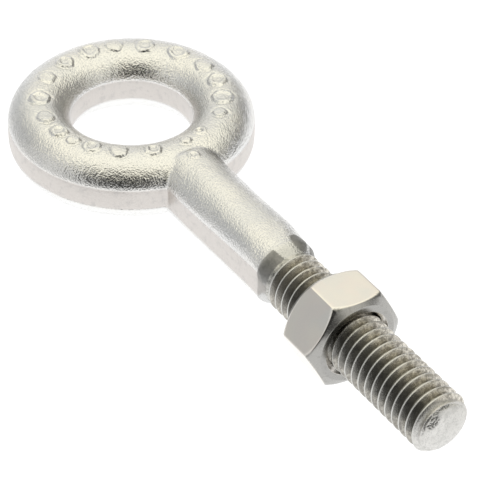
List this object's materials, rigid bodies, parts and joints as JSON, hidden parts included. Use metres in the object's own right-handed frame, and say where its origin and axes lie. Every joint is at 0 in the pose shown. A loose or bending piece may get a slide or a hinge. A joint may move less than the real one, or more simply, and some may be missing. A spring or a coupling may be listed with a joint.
{
  "type": "eye bolt",
  "caption": "Forged plain-pattern eye bolt: a round lifting eye on a short shank with a cut machine thread and a hex nut that screws along it.",
  "frame": {"origin": "centre of the eye", "axes": "+X along the shank towards the threaded tip, +Z along the axis of the eye"},
  "size_m": [0.1023, 0.0394, 0.0146],
  "materials": {
    "forged_zinc": "bright zinc plate over a forged skin, cut thread",
    "nut_zinc": "satin zinc plate"
  },
  "bodies": {
    "bolt": {"eye_bolt_forging": "forged_zinc"},
    "nut_carrier": {"nut_bearing_face": "nut_zinc"},
    "nut": {"hex_nut": "nut_zinc"}
  },
  "joints": [
    {"name": "nut_travel", "type": "slide", "parent": "bolt", "child": "nut_carrier", "axis": [1, 0, 0], "range_m": [-0.0072, 0.0192]},
    {"name": "nut_turn", "type": "hinge", "parent": "nut_carrier", "child": "nut", "pos_m": [0.0576, 0, 0], "axis": [1, 0, 0], "range_deg": [-1620, 4320]}
  ],
  "couplings": [
    {"joint": "nut_travel", "follows": "nut_turn", "m_per_rad": 0.00025266}
  ]
}
